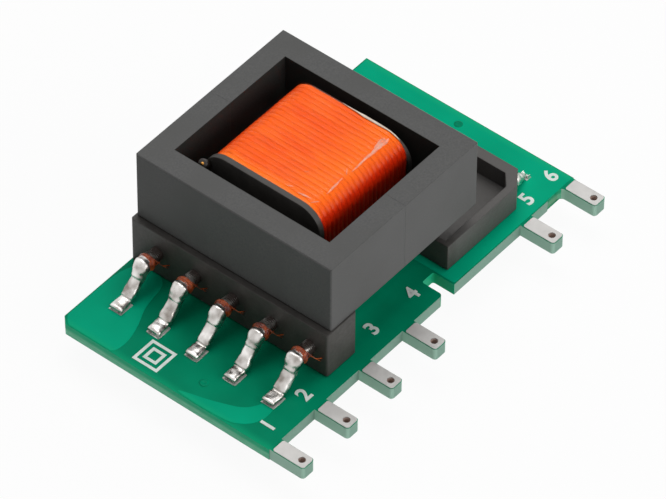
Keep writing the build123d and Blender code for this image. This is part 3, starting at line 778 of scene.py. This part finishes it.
WRAP_TURNS = 7
WRAP_LAYERS = 2
WRAP_STEPS = 16
WRAP_SIDES = 6
WRAP_NESTING = 1.75         # between the layers, in radii of the wire
WRAP_CREST = (0.12, 0.88)   # parts of a half wave that round off the wrap's ends
WRAP_WAVER = 0.02
TAILS = ((-0.1, 0.8, 0.45), (-0.2, 0.7, 0.75))      # start past the wrap, reach, drop
TAIL_START = 0.66           # share of the wrap's radius, out and up
TAIL_MIDDLE = (0.15, 0.1)   # of a tail, past the wrap and down
TAIL_SPREAD = 0.05
TAIL_BEND = 0.15
TAIL_STEP = 0.04
NECK_RADIUS = 0.41
NECK_STEP = 0.03
NECK_RIPPLE = 0.05
NECK_WAVE = 4 * NECK_STEP
wrap_radius = (wraps_high.z - wraps_low.z) / 2
wrap_z = (wraps_high.z + wraps_low.z) / 2
wrap_length = wraps_high.x - wraps_low.x
strand = wrap_length / WRAP_TURNS / 2
wraps = Skin()
necks = Skin()
for number, node in enumerate(PIN_NAMES, 1):
    low, high = box(node)
    y = (low.y + high.y) / 2
    points = []
    for layer in range(WRAP_LAYERS):
        radius = wrap_radius - strand - (WRAP_LAYERS - 1 - layer) * WRAP_NESTING * strand
        for step in range(WRAP_TURNS * WRAP_STEPS):
            share = step / (WRAP_TURNS * WRAP_STEPS)
            share = share if layer % 2 == 0 else 1 - share
            x = wraps_low.x + strand + (wrap_length - 2 * strand) * share
            angle = 2 * math.pi * step / WRAP_STEPS + layer
            crest = math.sin(math.pi * (WRAP_CREST[0] + (WRAP_CREST[1] - WRAP_CREST[0]) * share))
            r = radius * crest ** 0.35 + WRAP_WAVER * wobble((x, angle, layer), 2.0, number)
            points.append(Vector((x + WRAP_WAVER * wobble((angle, x, 0), 1.3, number),
                                  y + r * math.cos(angle), wrap_z + r * math.sin(angle))))
    rings = []
    for i, point in enumerate(points):
        out = (point - Vector((point.x, y, wrap_z))).normalized()
        across = direction(points, i).cross(out).normalized()
        rings.append(circle(point, out, across, strand, WRAP_SIDES))
    wraps.tube(rings)
    aside = TAIL_START * wrap_radius
    for start, reach, drop in TAILS:
        tail = [Vector((wraps_high.x + start, y - aside, wrap_z + aside)),
                Vector((wraps_high.x + TAIL_MIDDLE[0], y - reach, wrap_z - TAIL_MIDDLE[1])),
                Vector((bobbin_low.x, y - reach - TAIL_SPREAD, wrap_z - drop))]
        wraps.tube([circle(point, ALONG_Y, ALONG_Z, strand, WRAP_SIDES)
                    for point in rounded_path(tail, TAIL_BEND, TAIL_STEP)])
    # The neck is painted shade: a dark sleeve over the pin.
    neck = [Vector((wraps_high.x - strand, y, wrap_z)), Vector((bobbin_low.x, y, wrap_z))]
    rings = []
    for point in rounded_path(neck, 0, NECK_STEP):
        radius = NECK_RADIUS * (1 + NECK_RIPPLE * math.cos(2 * math.pi * point.x / NECK_WAVE))
        rings.append(circle(point, ALONG_Y, ALONG_Z, radius, PIN_SIDES))
    necks.tube(rings)
wraps.piece("enamelled_wire_wraps", copper_wire, ["primary_wire_wraps"])
necks.piece("painted_shade_pin_necks", painted_shade_black)

# Solder cones over the secondary pins and the wire ends round them

CONE_LUMP = 0.03
CONE_SEED = 60
CONE_RINGS = 14
CONE_SIDES = 20
CONE_END = (0.1, 0.14)      # of the cone's axis, short of the pin's tip and above the board
CONE_CLEARANCE = 0.005      # above the board
CONE_RADII = [(0, 0.48), (0.15, 0.47), (0.5, 0.32), (0.8, 0.19), (1, 0.08)]
tray_wraps_low, tray_wraps_high = box("secondary_wire_wraps")
cone_z = (tray_wraps_low.z + tray_wraps_high.z) / 2
cones = Skin()
secondary_pins = sorted(name for name in nodes if name.startswith("secondary_pin"))
for number, node in enumerate(secondary_pins, 1):
    low, high = box(node)
    start = Vector((tray_wraps_low.x, (low.y + high.y) / 2, cone_z))
    end = Vector((high.x - CONE_END[0], start.y, board_top + CONE_END[1]))
    rings = []
    for step in range(CONE_RINGS):
        share = step / (CONE_RINGS - 1)
        middle = start.lerp(end, share)
        ring = circle(middle, ALONG_Y, ALONG_Z, between(CONE_RADII, share), CONE_SIDES)
        for spot in ring:
            lump = CONE_LUMP * wobble(spot, 1.5, number + CONE_SEED)
            spot += (spot - middle).normalized() * lump
            spot.z = max(spot.z, board_top + CONE_CLEARANCE)
        rings.append(ring)
    cones.tube(rings)
cones.piece("secondary_solder_cones", smooth_solder,
            [*secondary_pins, "secondary_wire_wraps"])

# Sleeved wire end beside the near flange

SLEEVE_RADIUS = 0.29
STUB_RADIUS = 0.1
STUB_PROUD = 0.04           # bare end past the sleeve
STUB_SIDES = 24
STUB_REACH = Vector((-0.6, -0.12, 0.62))    # from the flange to the end
STUB_SHIFT = -0.15          # of the root from the middle of the CAD stub, along Y
STUB_RAISE = 0.17           # of the root above its lowest point
STUB_CHAMFER = 0.03
STUB_END_SHARE = 0.8        # of the radius, left at the end
stub_low, stub_high = box("wire_stub")
stub_root = Vector((stub_high.x, (stub_low.y + stub_high.y) / 2 + STUB_SHIFT,
                    stub_low.z + STUB_RAISE))


def stub_piece(name, radius, length, material, replaced=()):
    """Round piece from the flange up along the stub, with a chamfered end."""
    heading = STUB_REACH.normalized()
    beside = ALONG_Y.cross(heading).normalized()
    above = heading.cross(beside)
    skin = Skin()
    skin.tube([circle(stub_root + heading * along, beside, above, radius * share, STUB_SIDES)
               for along, share in ((0, 1), (length - STUB_CHAMFER, 1), (length, STUB_END_SHARE))])
    skin.piece(name, material, replaced)


stub_piece("stub_sleeve", SLEEVE_RADIUS, STUB_REACH.length, sleeve_black, ["wire_stub"])
stub_piece("stub_end", STUB_RADIUS, STUB_REACH.length + STUB_PROUD, bright_copper)

# Discoloured walls of the plated holes in the fingers

LINING_RADIUS = 0.218
LINING_BORE = 0.188
LINING_SIDES = 28
LINING_SHORT = 0.02         # the outer wall stops this far from the board's faces
LINING_BORE_SHORT = 0.05    # and the inner wall this far
linings = Skin()
for x in FINGER_X:
    rings = []
    for radius, level in ((LINING_RADIUS, board_bottom + LINING_SHORT),
                          (LINING_RADIUS, board_top - LINING_SHORT),
                          (LINING_BORE, board_top - LINING_BORE_SHORT),
                          (LINING_BORE, board_bottom + LINING_BORE_SHORT)):
        middle = Vector((x, board_low.y + HOLE_FROM_TIP, level))
        rings.append(circle(middle, ALONG_X, ALONG_Y, radius, LINING_SIDES))
    linings.tube(rings, closed=True)
linings.piece("hole_linings", hole_brown)

# Copper under the mask: pours and tracks, standing a little proud

COPPER_HEIGHT = 0.02
COPPER_SUNK = 0.01          # of the pours into the board
COPPER_INSET = 0.07         # copper back from the board's edge
COPPER_BEVEL = 0.008
CORNER_CUTS = 3


def softened(outline):
    """Outline with its corners cut again and again, until it runs in curves."""
    points = [Vector(p) for p in outline]
    for _ in range(CORNER_CUTS):
        cut = []
        for a, b in zip(points, points[1:] + points[:1]):
            cut.extend((a.lerp(b, 0.25), a.lerp(b, 0.75)))
        points = cut
    return points


west = board_left + COPPER_INSET
east = board_right - COPPER_INSET
north = board_back - COPPER_INSET
south = board_front + COPPER_INSET
primary_pour = [(west, 5.3), (west, 4.95), (-13.0, 4.8), (-12.2, 4.75), (-10.9, 5.1), (-9.6, 5.75),
                (-7.2, 6.0), (-7.2, north), (west + 0.8, north), (west + 0.5, north),
                (west, north - 0.5), (west, north - 0.8)]
input_track = [(west, 0.6), (-13.05, -0.2), (-12.75, -1.35), (-12.4, -2.3), (-12.0, -3.3),
               (-11.3, -3.85), (-10.6, -4.0), (-10.6, -4.55), (-11.5, -4.75), (-12.3, -4.6),
               (-12.9, -4.1), (west, -3.2)]
finger_pour = [(-11.9, south), (-11.9, -5.95), (-8.0, -5.95), (-5.0, -5.8), (-5.0, south)]
bulk_pour = [(-3.2, south), (-3.2, -5.6), (0.2, -5.0), (0.5, -4.4), (1.35, -4.4), (1.35, south)]
output_pour = [(3.1, north), (2.72, north), (2.72, north - 0.4), (2.72, south + 0.4),
               (2.72, south), (3.1, south), (east - 0.4, south), (east, south), (east, south + 0.4),
               (east, north - 0.4), (east, north), (east - 0.4, north)]
pours = Skin()
for outline in (primary_pour, input_track, output_pour):
    pours.slab(softened(outline), board_top - COPPER_SUNK, board_top + COPPER_HEIGHT,
               COPPER_BEVEL)
for outline in (primary_pour, finger_pour, bulk_pour, output_pour):
    pours.slab(softened(outline), board_bottom + COPPER_SUNK, board_bottom - COPPER_HEIGHT,
               COPPER_BEVEL)
pours.piece("masked_copper", copper_green, smooth=False)

# Tented vias, shallow rings under the mask

VIA_RADIUS = 0.27
VIA_SIDES = 24
VIA_PLACES = ((-11.91, -0.47), (12.6, 1.3))
VIA_RINGS = ((1.0, -0.02), (1.0, 0.0), (0.8, 0.015), (0.5, 0.015), (0.3, 0.002))    # share, height
vias = Skin()
for x, y in VIA_PLACES:
    vias.tube([circle(Vector((x, y, board_top + COPPER_HEIGHT + height)), ALONG_X, ALONG_Y,
                      share * VIA_RADIUS, VIA_SIDES) for share, height in VIA_RINGS])
vias.piece("tented_vias", board_green)

# Printed marks: plain pin numbers by the fingers and a pair of concentric squares

PRINT_HEIGHT = 0.012
DIGIT_SIZE = 1.3
DIGIT_WEIGHT = 0.035
SQUARE_CENTRE = Vector((-12.105, 2.925))
SQUARE_HALVES = (0.89, 0.48)
SQUARE_LINE = 0.19
DIGIT_PLACES = ((-12.1, -5.6), (-9.1, -5.65), (-2.9, -5.4), (0.6, -5.4), (10.4, -5.8), (12.7, -5.7))
marks = Skin()
for number, (x, y) in enumerate(DIGIT_PLACES, 1):
    text = bpy.data.curves.new(f"digit_{number}", "FONT")
    text.body = str(number)
    text.size = DIGIT_SIZE
    text.align_x = "CENTER"
    text.extrude = PRINT_HEIGHT
    text.offset = DIGIT_WEIGHT
    holder = bpy.data.objects.new(text.name, text)
    bpy.context.scene.collection.objects.link(holder)
    shape = bpy.data.meshes.new_from_object(
        holder.evaluated_get(bpy.context.evaluated_depsgraph_get()))
    start = len(marks.verts)
    for vertex in shape.vertices:
        marks.verts.append(vertex.co + Vector((x, y, board_top + COPPER_HEIGHT)))
    for polygon in shape.polygons:
        marks.faces.append(tuple(start + i for i in polygon.vertices))
    bpy.data.objects.remove(holder)
    bpy.data.meshes.remove(shape)
for half in SQUARE_HALVES:
    rings = []
    for reach, z in ((half, 0), (half, PRINT_HEIGHT), (half - SQUARE_LINE, PRINT_HEIGHT),
                     (half - SQUARE_LINE, 0)):
        rings.append([Vector((*(SQUARE_CENTRE + Vector(c) * reach), board_top + z))
                      for c in ((-1, -1), (1, -1), (1, 1), (-1, 1))])
    marks.tube(rings, closed=True)
marks.piece("printed_marks", print_white, smooth=False)

# Floor and world, both white to the camera and in reflections

FLOOR_HALF = 1500.0
FLOOR_GREY = 0.86
SHADOW_SHARE = 0.06         # share of the seen floor that is lit, and so takes shadows
WORLD_LEVEL = 0.28
WORLD_LEAN = (0.23, -0.17, 0.03)    # how the level grows towards +X, +Y and +Z


def seen_rays(tree):
    """Output that is 1 for camera, glossy and transmission rays."""
    path = tree.nodes.new("ShaderNodeLightPath")
    total = path.outputs["Is Camera Ray"]
    for name in ("Is Glossy Ray", "Is Transmission Ray"):
        larger = tree.nodes.new("ShaderNodeMath")
        larger.operation = "MAXIMUM"
        tree.links.new(total, larger.inputs[0])
        tree.links.new(path.outputs[name], larger.inputs[1])
        total = larger.outputs[0]
    return total


floor_mesh = bpy.data.meshes.new("floor")
floor_mesh.from_pydata([Vector((x, y, 0)) * FLOOR_HALF * MM
                        for x, y in ((-1, -1), (1, -1), (1, 1), (-1, 1))], [], [(0, 1, 2, 3)])
floor = bpy.data.objects.new("floor", floor_mesh)
bpy.context.scene.collection.objects.link(floor)
paint = bpy.data.materials.new("floor_white")
paint.use_nodes = True
tree = paint.node_tree
tree.nodes.remove(tree.nodes["Principled BSDF"])
matt = tree.nodes.new("ShaderNodeBsdfDiffuse")
matt.inputs["Color"].default_value = (FLOOR_GREY, FLOOR_GREY, FLOOR_GREY, 1)
glow = tree.nodes.new("ShaderNodeEmission")
blend = tree.nodes.new("ShaderNodeMixShader")
share = tree.nodes.new("ShaderNodeMath")
share.operation = "MULTIPLY"
share.inputs[1].default_value = 1 - SHADOW_SHARE
tree.links.new(seen_rays(tree), share.inputs[0])
tree.links.new(share.outputs[0], blend.inputs[0])
tree.links.new(matt.outputs[0], blend.inputs[1])
tree.links.new(glow.outputs[0], blend.inputs[2])
tree.links.new(blend.outputs[0], tree.nodes["Material Output"].inputs[0])
floor_mesh.materials.append(paint)

world = bpy.data.worlds.new("studio")
bpy.context.scene.world = world
world.use_nodes = True
tree = world.node_tree
choose = tree.nodes.new("ShaderNodeMix")
choose.data_type = "RGBA"
choose.inputs[7].default_value = (1, 1, 1, 1)
facing = tree.nodes.new("ShaderNodeTexCoord").outputs["Generated"]
lean = tree.nodes.new("ShaderNodeVectorMath")
lean.operation = "DOT_PRODUCT"
lean.inputs[1].default_value = WORLD_LEAN
level = tree.nodes.new("ShaderNodeMath")
level.inputs[1].default_value = WORLD_LEVEL
tree.links.new(facing, lean.inputs[0])
tree.links.new(lean.outputs["Value"], level.inputs[0])
tree.links.new(level.outputs[0], choose.inputs[6])
tree.links.new(seen_rays(tree), choose.inputs[0])
tree.links.new(choose.outputs[2], tree.nodes["Background"].inputs["Color"])


def softbox(name, place, size, power):
    """Square area lamp that faces the module."""
    lamp = bpy.data.lights.new(name, "AREA")
    lamp.size = size * MM
    lamp.energy = power
    obj = bpy.data.objects.new(name, lamp)
    obj.location = Vector(place) * MM
    obj.rotation_mode = "QUATERNION"
    obj.rotation_quaternion = (-Vector(place)).to_track_quat("-Z", "Y")
    bpy.context.scene.collection.objects.link(obj)


softbox("overhead_softbox", place=(60, 60, 300), size=220, power=0.47)
softbox("front_softbox", place=(60, -300, 150), size=200, power=0.39)

# Camera

camera_data = bpy.data.cameras.new("camera")
camera_data.lens = CAMERA_LENS
camera_data.sensor_width = 36
camera_data.sensor_fit = "HORIZONTAL"
camera_data.clip_start = 0.01
camera_data.clip_end = 10
camera = bpy.data.objects.new("camera", camera_data)
bpy.context.scene.collection.objects.link(camera)
azimuth, elevation = math.radians(CAMERA_AZIMUTH), math.radians(CAMERA_ELEVATION)
back = Vector((math.sin(azimuth) * math.cos(elevation),
               -math.cos(azimuth) * math.cos(elevation), math.sin(elevation)))
camera.location = (CAMERA_AIM + back * CAMERA_DISTANCE) * MM
camera.rotation_mode = "QUATERNION"
camera.rotation_quaternion = ((-back).to_track_quat("-Z", "Y")
                              @ Quaternion((0, 0, 1), math.radians(CAMERA_ROLL)))
bpy.context.scene.camera = camera
bpy.context.scene.view_settings.view_transform = "Standard"
